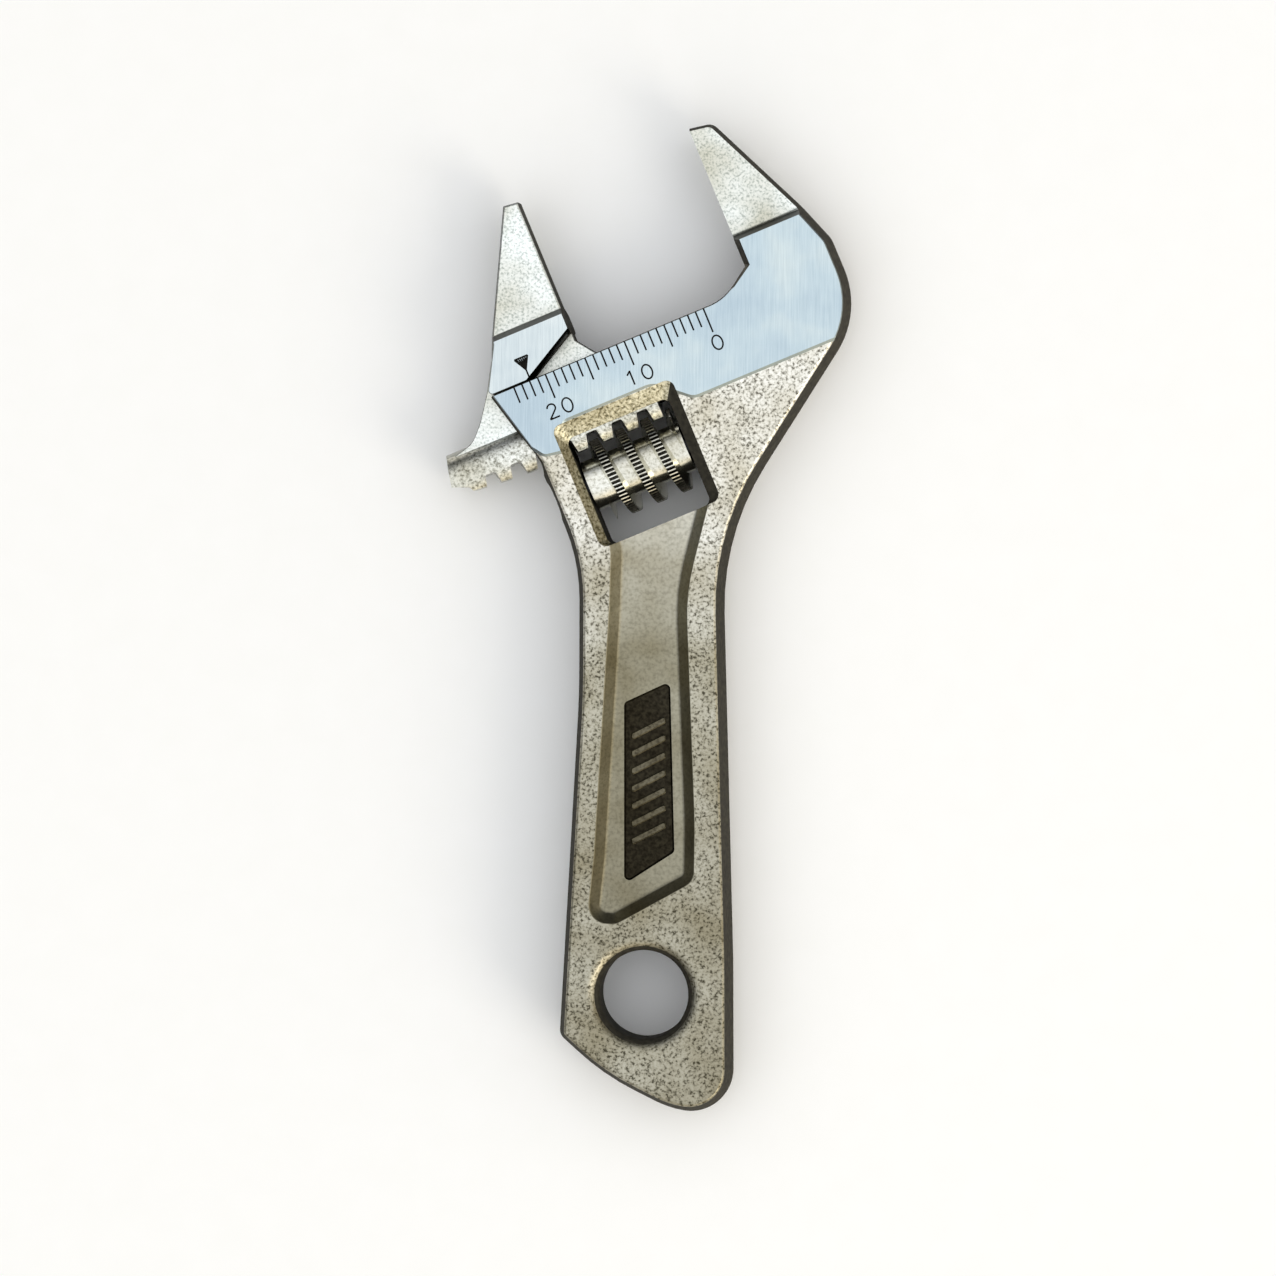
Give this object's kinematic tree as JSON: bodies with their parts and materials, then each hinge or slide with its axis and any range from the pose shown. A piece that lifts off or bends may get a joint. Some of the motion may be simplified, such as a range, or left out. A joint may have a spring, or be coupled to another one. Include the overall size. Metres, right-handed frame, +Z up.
{
  "type": "adjustable wrench",
  "caption": "Small forged adjustable wrench, head set at 22.5 degrees, whose sliding jaw is driven by a knurled worm, with a millimetre scale and a hanging hole.",
  "frame": {"origin": "under the middle of the whole wrench's box as drawn, on the plane that its back plate rests on, with the wrench lying flat and the jaws 21.8 mm open", "axes": "+Y along the handle, from the hanging hole to the jaws; +X across it, towards the fixed jaw's back; +Z up out of the scale side. The slide and the worm's axis lie in the XY plane, turned 22.5 degrees from +X towards +Y"},
  "size_m": [0.0476, 0.1158, 0.01],
  "materials": {
    "forged_satin_steel": "drop forged, blasted and satin nickel-chrome plated, with the head plates ground and polished",
    "ground_steel": "forged, ground on the shoulder, satin nickel-chrome plated",
    "turned_steel": "turned and knurled, bright plated",
    "blackened_steel": "black oxide",
    "spring_steel": "drawn wire"
  },
  "bodies": {
    "body": {"body": "forged_satin_steel", "worm_pin": "blackened_steel", "worm_spring": "spring_steel"},
    "worm": {"adjusting_worm": "turned_steel"},
    "jaw": {"movable_jaw": "ground_steel"}
  },
  "joints": [
    {"name": "worm_spin", "type": "hinge", "parent": "body", "child": "worm", "pos_m": [-0.0012, 0.0178, 0.005], "axis": [0.9239, 0.3827, 0], "range_deg": [-2448, 248.5]},
    {"name": "jaw_slide", "type": "slide", "parent": "body", "child": "jaw", "axis": [-0.9239, -0.3827, 0], "range_m": [-0.02175, 0.0022]}
  ],
  "couplings": [
    {"joint": "worm_spin", "follows": "jaw_slide", "rad_per_m": 1963.5}
  ]
}
